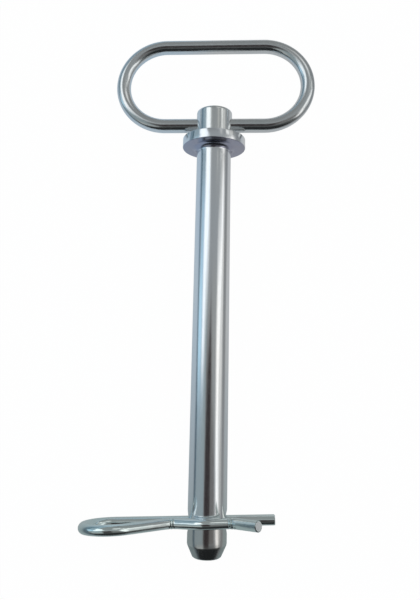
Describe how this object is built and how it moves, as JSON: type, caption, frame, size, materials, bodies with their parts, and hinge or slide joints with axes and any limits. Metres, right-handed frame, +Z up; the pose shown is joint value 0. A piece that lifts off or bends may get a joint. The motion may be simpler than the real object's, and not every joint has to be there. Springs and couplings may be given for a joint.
{
  "type": "hitch pin",
  "caption": "Straight turned hitch pin with a collar, a swivelling ring handle of bent wire and a spring hairpin clip through the tip.",
  "frame": {"origin": "centre of the collar's underside, where the shank meets it", "axes": "+Y along the pin towards its handle, 2.3 degrees below level as it lies; +Z up; +X to the right with the handle away from the viewer, so the clip's loop is at -X"},
  "size_m": [0.1169, 0.2743, 0.0363],
  "materials": {
    "pin": "bright zinc plate over turned steel",
    "handle": "bright zinc plate over drawn wire",
    "hairpin_clip": "bright zinc plate over spring wire"
  },
  "bodies": {
    "pin": {"pin": "pin"},
    "handle": {"handle": "handle"},
    "hairpin_clip": {"hairpin_clip": "hairpin_clip"}
  },
  "joints": [
    {"name": "handle_swivel", "type": "hinge", "parent": "pin", "child": "handle", "pos_m": [0, 0.01399, 0.00056], "axis": [0.986, -0.0066, 0.1667], "range_deg": [-164, 164]},
    {"name": "clip_pull", "type": "slide", "parent": "pin", "child": "hairpin_clip", "axis": [-0.985, -0.0387, -0.1683], "range_m": [0, 0.045], "deforming": ["hairpin_clip"]}
  ]
}
